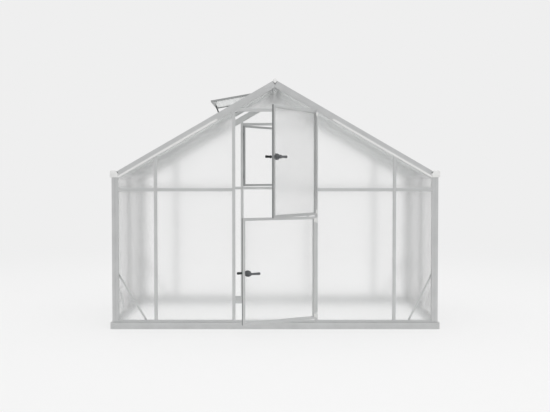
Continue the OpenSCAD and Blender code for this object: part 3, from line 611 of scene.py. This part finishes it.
class GREENHOUSE_OT_seals(bpy.types.Operator):
    """Lays a soft seal round both faces of every sheet, where it enters its bars"""
    bl_idname = "greenhouse.seals"
    bl_label = "Glazing seals"

    def execute(self, context):
        sizes = context.scene.greenhouse_sizes
        for node in [node for node, slot in SLOT_OF.items() if slot == "polycarbonate"]:
            bm = merged_copy(node)
            narrow = [face for face in bm.faces if face.calc_area() <= SHEET_EDGE_AREA]
            bmesh.ops.delete(bm, geom=narrow, context="FACES")
            bmesh.ops.delete(bm, geom=self.rim(bm, sizes.groove), context="FACES")
            inside = list(bm.faces)
            self.rim(bm, sizes.seal)
            bmesh.ops.delete(bm, geom=inside, context="FACES")
            bmesh.ops.solidify(bm, geom=bm.faces, thickness=-sizes.seal / 2)
            keep(bm, node + "_seals", GLAZING_SEAL, node, stands_in=False)
        for leaf in LEAVES:
            self.painted_shade_seal(leaf, sizes)
        return {"FINISHED"}

    def rim(self, bm, width):
        """Insets every face from its own border and gives the new faces of the rims."""
        return bmesh.ops.inset_region(
            bm, faces=bm.faces, thickness=width, use_boundary=True, use_even_offset=True)["faces"]

    def painted_shade_seal(self, leaf, sizes):
        """A rubber lip along the leaf's free edge, whose dark grey is painted shade on the edge."""
        node = leaf + "_leaf_frame"
        sash = SashPlace(node)
        ahead = sash.across.dot(leaf_place(leaf).col[0].to_3d())
        edge, way = (sash.size.x, 1) if ahead > 0 else (0, -1)
        bm = bmesh.new()
        verts = block_between(
            bm, (edge - way * 0.5 * MM, sash.size.y - sizes.flange + 1 * MM, 1 * MM),
            (edge + way * 1 * MM, sash.size.y - 3 * MM, sash.size.z - 1 * MM))
        rounded(bm, edges_of(verts), 0.4 * MM)
        bmesh.ops.transform(bm, matrix=sash.place, verts=bm.verts)
        keep(bm, leaf + "_painted_shade_seal", PAINTED_SHADE_SEAL, node, stands_in=False)


class GREENHOUSE_OT_hinges(bpy.types.Operator):
    """Details the door hinges: knuckles, pins, leaf plates and screws"""
    bl_idname = "greenhouse.hinges"
    bl_label = "Door hinges"

    def execute(self, context):
        sizes = context.scene.greenhouse_sizes
        knuckle_radius, knuckle_run = 6.9 * MM, 9 * MM
        for leaf in LEAVES:
            place = leaf_place(leaf)
            place.translation = Vector(JOINTS[leaf + "_leaf_hinge"]["pos_m"]) * Vector((1, 1, 0))
            half = SashPlace(leaf + "_leaf_frame").size.y / 2
            node = leaf + "_leaf_hinges"
            bm, barrels = rounded_solids(node, sizes.rounding)
            for low, high, _ in barrels:
                self.leaf_plate(bm, place, low.z, high.z, half, sizes.screw)
                for height, inward in ((low.z, UP), (high.z, -UP)):
                    end = place.translation + UP * height
                    knuckles(bm, end, end + inward * knuckle_run, knuckle_radius)
            keep(bm, node + "_detailed", PALE_PLASTIC, node)
        self.brackets(sizes)
        return {"FINISHED"}

    def leaf_plate(self, bm, place, low, high, half, screw):
        """A plate on the stile's outer face with two screws."""
        near, far, thick, screw_at = 3 * MM, 31 * MM, 2.5 * MM, 22 * MM
        verts = block_between(bm, (near, half, low), (far, half + thick, high), place)
        rounded(bm, edges_of(verts), 0.8 * MM)
        for share in (0.25, 0.75):
            at = place @ Vector((screw_at, half + thick, low + (high - low) * share))
            round_screw(bm, at, place.col[1].to_3d(), screw)

    def brackets(self, sizes):
        """The brackets on the door post, each with two screws beside its pin."""
        node, inset_x, inset_y = "hinge_brackets", 5 * MM, 4 * MM
        bm, solids = rounded_solids(node, sizes.rounding * 0.75)
        for low, high, _ in solids:
            for share in (0.4, 0.85):
                at = Vector((high.x - inset_x, high.y - inset_y, low.lerp(high, share).z))
                round_screw(bm, at, (0, -1, 0), sizes.screw)
        keep(bm, node + "_detailed", PALE_PLASTIC, node)


class GREENHOUSE_OT_handles(bpy.types.Operator):
    """Builds the door handles: a domed rose on each side, the outer lever and the inner latch arm"""
    bl_idname = "greenhouse.handles"
    bl_label = "Door handles"

    def execute(self, context):
        sizes = context.scene.greenhouse_handles
        for leaf in LEAVES:
            place = leaf_place(leaf)
            sash = SashPlace(leaf + "_leaf_frame")
            middle = sash.low.y + sash.size.y / 2
            inner, outer = (reach - middle for reach in sash.span(sash.sheet, sash.out))
            self.roses(leaf + "_lock_plates", place, sizes, outer, inner)
            self.handle(leaf + "_handle", place, sizes, outer, inner)
        return {"FINISHED"}

    def on_face(self, place, face, way):
        """The place on a sheet's face, with its Z pointing away from the leaf."""
        return place @ Matrix.Translation((0, face, 0)) @ Matrix.Rotation(-way * math.pi / 2, 4, "X")

    def roses(self, node, place, sizes, outer, inner):
        """A deep dome with a sunk ring outside, and a flat plate with a raised collar and screws inside."""
        bm = bmesh.new()
        r, top, bore = sizes.rose, sizes.dome, 4.1 * MM
        turned_body(bm, [
            (bore, 0), (r, 0), (r, 3 * MM), (r - 1 * MM, 4 * MM), (r - 1.6 * MM, 4 * MM),
            (r - 1.6 * MM, 5 * MM), (r - 0.8 * MM, 6 * MM), (r - 1 * MM, 0.55 * top), (0.88 * r, 0.76 * top),
            (0.72 * r, 0.9 * top), (0.62 * r, 0.93 * top), (0.6 * r, 0.86 * top), (0.54 * r, 0.86 * top),
            (0.52 * r, 0.97 * top), (0.46 * r, top), (bore, top)], self.on_face(place, outer, 1), steps=48)
        base = self.on_face(place, inner, -1)
        turned_body(bm, [
            (bore, 0), (r, 0), (r, 2.5 * MM), (r - 1.2 * MM, 4 * MM), (0.8 * r, 5.2 * MM),
            (0.7 * r, 5.4 * MM), (0.66 * r, 4.2 * MM), (0.6 * r, 4.2 * MM), (0.56 * r, 6.4 * MM),
            (0.48 * r, 7.8 * MM), (bore, PLATE)], base, steps=48)
        for way in (1, -1):
            round_screw(bm, base @ Vector((0, way * 0.75 * r, 5 * MM)), base.to_3x3() @ UP, 2.2 * MM)
        # The roses take the lighter grey copy of the black plastic: painted sheen.
        keep(bm, node + "_domed", SHEEN_GREY_PLASTIC, node)

    def handle(self, node, place, sizes, outer, inner):
        """The outer lever and the inner latch arm, each with its neck and half of the spindle."""
        gap = 0.5 * MM
        outside, inside = outer + sizes.dome + gap, inner - PLATE - gap
        for name, finish, start, end, neck, way, reach in (
                # The outer lever takes the lighter grey copy of the black plastic: painted sheen.
                ("_outer_lever", SHEEN_GREY_PLASTIC, outside, sizes.lever_out, 12 * MM, 1, -sizes.lever),
                ("_latch_arm", BLACK_NYLON, inside, -sizes.latch_in, 9 * MM, -1, sizes.latch)):
            bm = bmesh.new()
            at = place @ Matrix.Translation((0, end, 0)) @ Matrix.Diagonal((1, way, 1, 1))
            lever(bm, at, reach, 10 * MM, sizes.lever_height, neck + 4 * MM)
            run = abs(end - start)
            turned_body(bm, [
                (0, 0), (neck + 2 * MM, 0), (neck + 2.5 * MM, 1.5 * MM), (neck + 2 * MM, 4 * MM),
                (neck, 6 * MM), (neck - 1 * MM, 0.5 * run), (neck, 0.8 * run), (neck + 1.5 * MM, run),
                (0, run)], self.on_face(place, start, way))
            turned_body(
                bm, [(0, 0), (4 * MM, 0), (4 * MM, start), (0, start)], self.on_face(place, 0, 1), steps=20)
            keep(bm, node + name, finish, node)


class GREENHOUSE_OT_sash_fittings(bpy.types.Operator):
    """Details the hinges of the roof vent and the back window, and the vent's stay"""
    bl_idname = "greenhouse.sash_fittings"
    bl_label = "Vent and window fittings"

    def execute(self, context):
        rounding = context.scene.greenhouse_sizes.rounding
        for node, axis in (("vent_fittings", 1), ("window_fittings", 2)):
            bm, solids = rounded_solids(node, rounding * 0.6)
            for low, high, corners in solids:
                if corners > BARREL_CORNERS:
                    self.hinge(bm, low, high, axis)
                elif node == "vent_fittings":
                    self.stay_nuts(bm, low, high)
            keep(bm, node + "_detailed", BLACK_NYLON, node)
        return {"FINISHED"}

    def hinge(self, bm, low, high, axis):
        """Knuckles over a barrel, whose pin runs along this axis and lies at the outer side of its box."""
        radius = (high.x - low.x) / 2
        ends = [(low + high) / 2, (low + high) / 2]
        for end, reach in zip(ends, (low, high)):
            end[axis] = reach[axis]
            if axis == 2:
                end.y = high.y - radius
        knuckles(bm, *ends, radius - 0.3 * MM)

    def stay_nuts(self, bm, low, high):
        """Round nuts on both sides of the stay near its ends. Pieces shorter than the stay get none."""
        shortest, inset, nut = 60 * MM, 9 * MM, 4.5 * MM
        diagonal = 0.96  # the stay's own length, against its box's diagonal
        stay = Vector((low.x - high.x, 0, high.z - low.z))
        if stay.length < shortest:
            return
        reach = stay * (0.5 - inset / stay.length) * diagonal
        for end in (reach, -reach):
            for way in (-1, 1):
                at = (low + high) / 2 + end + Vector((0, way * (high.y - low.y) / 2, 0))
                round_screw(bm, at, (0, way, 0), nut)


class GREENHOUSE_OT_end_caps(bpy.types.Operator):
    """Rounds the plastic caps of the gutters and the ridge, and screws the gutters' caps on"""
    bl_idname = "greenhouse.end_caps"
    bl_label = "End caps"

    def execute(self, context):
        screw, apart = context.scene.greenhouse_sizes.screw, 22 * MM
        node = "end_caps"
        bm, caps = rounded_solids(node, 1.4 * MM, segments=3)
        for low, high, _ in caps:
            middle = (low + high) / 2
            if abs(middle.x) < high.x - low.x:
                continue
            way = -1 if middle.y < CENTRE.y else 1
            at = Vector((middle.x, low.y if way < 0 else high.y, low.lerp(high, 0.3).z))
            for outwards in (0, math.copysign(apart, middle.x)):
                round_screw(bm, at + Vector((outwards, 0, 0)), (0, way, 0), screw)
        keep(bm, node + "_rounded", PALE_PLASTIC, node)
        return {"FINISHED"}


class GREENHOUSE_OT_fixings(bpy.types.Operator):
    """Bolts the braces, rails, posts, gutters and base bars together"""
    bl_idname = "greenhouse.fixings"
    bl_label = "Bolts and screws"

    def execute(self, context):
        sizes = context.scene.greenhouse_sizes
        bm = bmesh.new()
        for fasten in (self.brace_bolts, self.post_bolts, self.base_screws, self.gutter_screws):
            fasten(bm, sizes)
        keep(bm, "frame_fixings", ZINC, "sills", stands_in=False)
        return {"FINISHED"}

    def brace_bolts(self, bm, sizes):
        """One bolt near each end of every flat brace, on its inner face."""
        flats, inset = merged_copy("corner_braces"), 14 * MM
        for group in islands(flats):
            middle = sum(reach_of(group), Vector()) / 2
            inner = [face for face in faces_of(group) if face.normal.dot(CENTRE - middle) > 0]
            broad = max(inner, key=lambda face: face.calc_area())
            longest = max(broad.edges, key=lambda edge: edge.calc_length())
            run = longest.verts[1].co - longest.verts[0].co
            reach = run.normalized() * (run.length / 2 - inset)
            for at in (-reach, reach):
                hexagon_bolt(bm, broad.calc_center_bounds() + at, broad.normal, sizes.bolt)
        flats.free()

    def post_bolts(self, bm, sizes):
        """A screw outside and a bolt inside at the foot of each wall post, and a bolt beside the rails."""
        foot, rail = (sum(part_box(node), Vector()).z / 2 for node in ("sills", "front_rails"))
        for node in ("front_posts", "back_posts", "side_posts"):
            posts = merged_copy(node)
            for group in islands(posts):
                low, high = reach_of(group)
                middle = (low + high) / 2
                out = Vector((0, -1 if node == "front_posts" else 1, 0))
                if node == "side_posts":
                    out = Vector((math.copysign(1, middle.x), 0, 0))
                half = out * abs((high - low).dot(out)) / 2
                face, back = middle + half, middle - half
                round_screw(bm, Vector((face.x, face.y, foot)), out, sizes.screw)
                for height in (foot, rail):
                    hexagon_bolt(bm, Vector((back.x, back.y, height)), -out, sizes.bolt)
            posts.free()

    def base_screws(self, bm, sizes):
        """Two screws through each end of the front and back base bars into the side bars."""
        for node, way in (("base_front", -1), ("base_back", 1)):
            low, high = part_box(node)
            half = (high.y - low.y) / 2
            face = low.y if way < 0 else high.y
            for x in (low.x + half, high.x - half):
                for share in (0.18, 0.72):
                    round_screw(bm, Vector((x, face, low.lerp(high, share).z)), (0, way, 0), sizes.screw)

    def gutter_screws(self, bm, sizes):
        """Screws through the gutters' outer walls beside the posts, sunk a little into the wall."""
        beside, sunk = 45 * MM, 1.2 * MM
        front, back = (corner.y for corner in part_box("corner_posts"))
        for node, side in (("gutter_left", -1), ("gutter_right", 1)):
            low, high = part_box(node)
            face = low.x if side < 0 else high.x
            for y in (front + beside, (front + back) / 2, back - beside):
                at = Vector((face - side * sunk, y, low.lerp(high, 0.4).z))
                round_screw(bm, at, (side, 0, 0), sizes.screw)


class GREENHOUSE_OT_closing_strips(bpy.types.Operator):
    """Closes the roof sheets' lower ends with aluminium strips over the gutters"""
    bl_idname = "greenhouse.closing_strips"
    bl_label = "Closing strips"

    def execute(self, context):
        lap, wall = context.scene.greenhouse_sizes.strip, 1.8 * MM
        for node, side in (("roof_sheets_left", -1), ("roof_sheets_right", 1)):
            sheets = merged_copy(node)
            bm = bmesh.new()
            for group in islands(sheets):
                faces = faces_of(group)
                end = min(faces, key=lambda face: face.normal.z - side * face.normal.x)
                upright = max(faces, key=lambda face: face.normal.z).normal
                corners = [vert.co - end.normal * lap for vert in end.verts]
                middle = sum(corners, Vector()) / len(corners)
                verts = [
                    bm.verts.new(corner + upright * math.copysign(wall, (corner - middle).dot(upright)))
                    for corner in corners]
                cover = bmesh.ops.extrude_face_region(bm, geom=[bm.faces.new(verts)])
                moved = [v for v in cover["geom"] if isinstance(v, bmesh.types.BMVert)]
                bmesh.ops.translate(bm, vec=end.normal * (lap + wall), verts=moved)
            sheets.free()
            rounded(bm, sharp_edges(bm), 0.5 * MM)
            keep(bm, node + "_strips", MILL_ALUMINIUM, node, stands_in=False)
        return {"FINISHED"}


class GREENHOUSE_OT_gable_covers(bpy.types.Operator):
    """Clips a pale cover strip over the channel under each end rafter"""
    bl_idname = "greenhouse.gable_covers"
    bl_label = "Gable cover strips"

    def execute(self, context):
        sizes = context.scene.greenhouse_sizes
        proud, sunk, gap, joint = 0.8 * MM, 4 * MM, 0.5 * MM, 0.4 * MM
        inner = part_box("corner_posts")[1].x - sizes.corner
        for node, way in (("front_rafters", -1), ("back_rafters", 1)):
            rafters = merged_copy(node)
            bm = bmesh.new()
            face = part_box(node)[0 if way < 0 else 1].y
            near, far = sorted((face + way * proud, face - way * sunk))
            for side in (-1, 1):
                slopes = [f for f in rafters.faces if f.normal.x * side > 0.2 and f.normal.z > 0.5]
                out = max(slopes, key=lambda f: f.calc_area()).normal
                down = Vector((side * out.z, 0, -abs(out.x)))
                under = min(vert.co.dot(out) for vert in rafters.verts if vert.co.x * side > 0)
                place = Matrix((down, Vector((0, 1, 0)), out)).transposed().to_4x4()
                before = set(bm.verts)
                block_between(
                    bm, (-OVERLENGTH, near, under + gap), (inner * 2, far, under + sizes.cover), place)
                for x, normal in ((side * joint, side), (side * (inner - 0.3 * MM), -side)):
                    strip = [vert for vert in bm.verts if vert not in before]
                    self.cut(bm, strip, Vector((x, 0, 0)), Vector((normal, 0, 0)))
            rafters.free()
            rounded(bm, sharp_edges(bm, 50), proud)
            keep(bm, node + "_covers", PALE_PLASTIC, node, stands_in=False)
        return {"FINISHED"}

    def cut(self, bm, verts, at, normal):
        """Cuts off what lies behind a plane and closes the end."""
        geom = [*verts, *edges_of(verts), *faces_of(verts)]
        cut = bmesh.ops.bisect_plane(bm, geom=geom, plane_co=at, plane_no=normal, clear_inner=True)
        edges = [edge for edge in cut["geom_cut"] if isinstance(edge, bmesh.types.BMEdge)]
        bmesh.ops.edgenet_fill(bm, edges=edges)


class GREENHOUSE_OT_stage(bpy.types.Operator):
    """Sets the floor, the backdrop, the lamps and the camera"""
    bl_idname = "greenhouse.stage"
    bl_label = "Stage"

    def execute(self, context):
        scene = context.scene
        scene.view_settings.view_transform = "Standard"
        self.world(scene, scene.greenhouse_colours)
        self.floor(scene.greenhouse_colours)
        self.lamps(scene)
        self.camera(scene, scene.greenhouse_stage)
        return {"FINISHED"}

    def shown(self, tree):
        """1 for rays that show the backdrop: from the camera, in metal, or through a sheet."""
        camera, glossy, through = (
            add_node(tree, "LightPath", output=f"Is {ray} Ray")
            for ray in ("Camera", "Glossy", "Transmission"))
        direct = add_node(tree, "Math", {0: camera, 1: glossy}, operation="MAXIMUM")
        return add_node(tree, "Math", {0: direct, 1: through}, operation="MAXIMUM")

    def world(self, scene, colours):
        """An even studio. Metal that faces left mirrors a darker side of it."""
        world = bpy.data.worlds.new("studio")
        world.use_nodes = True
        tree = world.node_tree
        tree.nodes.clear()
        light = add_node(tree, "Background", {"Color": linear("ffffff"), "Strength": 0.85})
        direction = add_node(tree, "TexCoord", output="Generated")
        leftwards = add_node(tree, "SeparateXYZ", {0: direction})
        through_sheet = add_node(tree, "LightPath", output="Is Transmission Ray")
        edge = add_node(tree, "MapRange", {"Value": through_sheet, "To Min": -0.3, "To Max": -0.6})
        side = add_node(tree, "MapRange", {
            "Value": leftwards, "From Min": -0.92, "From Max": edge, "To Min": 0.15},
            interpolation_type="SMOOTHSTEP")
        mirrored = add_node(tree, "LightPath", output="Is Glossy Ray")
        level = add_node(tree, "Mix", {0: mirrored, 2: 1.0, 3: side})
        backdrop = add_node(tree, "Background", {"Color": linear(colours.backdrop), "Strength": level})
        mix = add_node(tree, "MixShader", {0: self.shown(tree), 1: light, 2: backdrop})
        add_node(tree, "OutputWorld", {0: mix})
        scene.world = world

    def floor(self, colours):
        """A pale floor that takes the shadow near the house and fades into the backdrop far from it."""
        tree = new_material("pale_studio_floor")
        place = add_node(tree, "TexCoord", output="Object")
        reach = add_node(tree, "VectorMath", {0: place}, "Value", operation="LENGTH")
        fade = add_node(tree, "MapRange", {
            "Value": reach, "From Min": 2.5, "From Max": 9.0}, interpolation_type="SMOOTHSTEP")
        glow_share = add_node(tree, "MapRange", {"Value": fade, "To Min": 0.7})
        share = add_node(tree, "Math", {0: self.shown(tree), 1: glow_share}, operation="MULTIPLY")
        colour = add_node(tree, "Mix", {
            0: fade, 6: linear(colours.floor), 7: linear(colours.backdrop)}, 2, data_type="RGBA")
        shade = add_node(tree, "BsdfDiffuse", {"Color": linear("e6e6e6")})
        glow = add_node(tree, "Emission", {"Color": colour})
        mix = add_node(tree, "MixShader", {0: share, 1: shade, 2: glow})
        add_node(tree, "OutputMaterial", {0: mix})
        bm = bmesh.new()
        bmesh.ops.create_grid(bm, x_segments=1, y_segments=1, size=60)
        new_object(bm, "floor", "pale_studio_floor")

    def lamps(self, scene):
        """Two wide soft lamps, which metal doesn't mirror."""
        for name, place, size, power in (
                ("key", (1.5, -5.5, 5.5), 6.0, 110), ("top", (0, 0.5, 7), 7.0, 130)):
            lamp = bpy.data.lights.new(name, "AREA")
            lamp.size = size
            lamp.energy = power
            holder = bpy.data.objects.new(name, lamp)
            holder.location = place
            holder.rotation_euler = (UP - Vector(place)).to_track_quat("-Z", "Y").to_euler()
            holder.visible_glossy = False
            scene.collection.objects.link(holder)

    def camera(self, scene, sizes):
        """A level camera before the middle of the front, tilted a little downwards."""
        camera = bpy.data.cameras.new("camera")
        camera.lens = sizes.lens
        holder = bpy.data.objects.new("camera", camera)
        holder.location = (CENTRE.x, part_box("base_front")[0].y - sizes.distance, sizes.height)
        holder.rotation_euler = (math.pi / 2 + sizes.pitch, 0, 0)
        scene.collection.objects.link(holder)
        scene.camera = holder


class GREENHOUSE_PT_panel(bpy.types.Panel):
    """Lists the steps that finish the greenhouse"""
    bl_label = "Greenhouse"
    bl_space_type = "VIEW_3D"
    bl_region_type = "UI"
    bl_category = "Greenhouse"

    def draw(self, context):
        for step in STEPS:
            self.layout.operator(step.bl_idname)


STEPS = (
    GREENHOUSE_OT_finishes, GREENHOUSE_OT_profiles, GREENHOUSE_OT_mitred_frames, GREENHOUSE_OT_seals,
    GREENHOUSE_OT_hinges, GREENHOUSE_OT_handles, GREENHOUSE_OT_sash_fittings, GREENHOUSE_OT_end_caps,
    GREENHOUSE_OT_fixings, GREENHOUSE_OT_closing_strips, GREENHOUSE_OT_gable_covers, GREENHOUSE_OT_stage,
)
GROUPS = {
    "greenhouse_colours": FinishColours, "greenhouse_sizes": FrameSizes,
    "greenhouse_handles": HandleSizes, "greenhouse_stage": StageSizes,
}
CLASSES = (*GROUPS.values(), *STEPS, GREENHOUSE_PT_panel)


def register():
    for cls in CLASSES:
        bpy.utils.register_class(cls)
    for name, group in GROUPS.items():
        setattr(bpy.types.Scene, name, bpy.props.PointerProperty(type=group))


def unregister():
    for name in GROUPS:
        delattr(bpy.types.Scene, name)
    for cls in reversed(CLASSES):
        bpy.utils.unregister_class(cls)


def main():
    register()
    for step in STEPS:
        getattr(bpy.ops.greenhouse, step.bl_idname.split(".")[1])()


if __name__ == "__main__":
    main()
